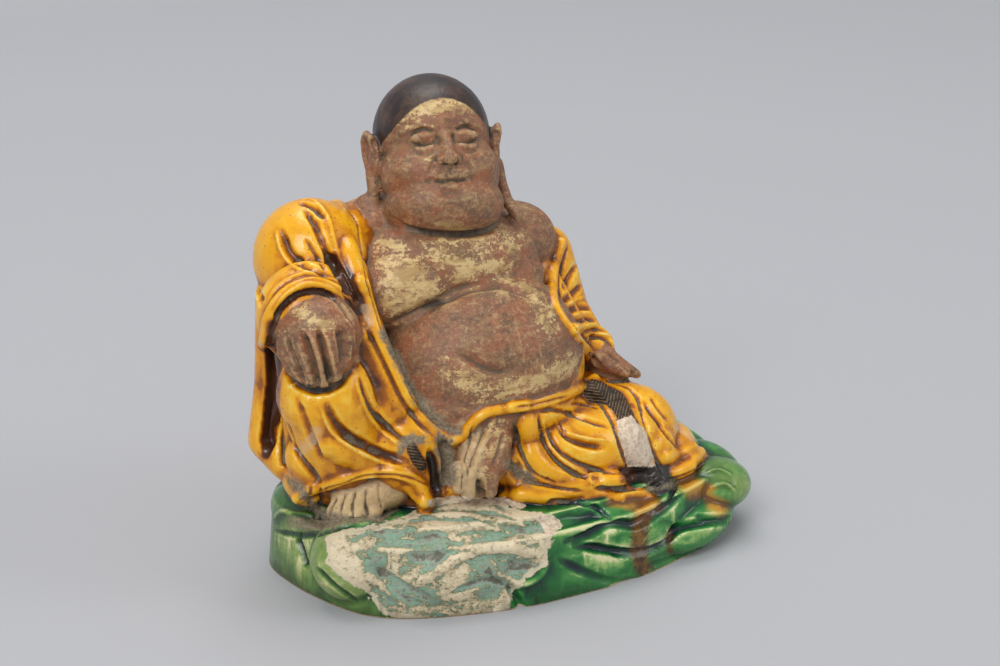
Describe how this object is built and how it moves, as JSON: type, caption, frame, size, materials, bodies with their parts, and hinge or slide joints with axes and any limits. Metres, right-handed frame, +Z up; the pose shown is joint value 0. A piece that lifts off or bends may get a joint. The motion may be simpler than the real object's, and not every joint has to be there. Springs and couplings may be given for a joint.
{
  "type": "pottery figure",
  "caption": "Glazed pottery figure of a seated stout monk in an open robe on an oval rock, pressed hollow and open underneath",
  "frame": {"origin": "on the surface that the figure stands on, under the middle of its box", "axes": "+Z up, the figure looks along -Y, its right hand at -X, the rock's length along X"},
  "size_m": [0.229, 0.1402, 0.21],
  "materials": {
    "glazed_pottery": "glossy amber, green and brown lead glaze over fired clay, with worn unglazed skin"
  },
  "bodies": {
    "root": {"figure": "glazed_pottery"}
  },
  "joints": []
}
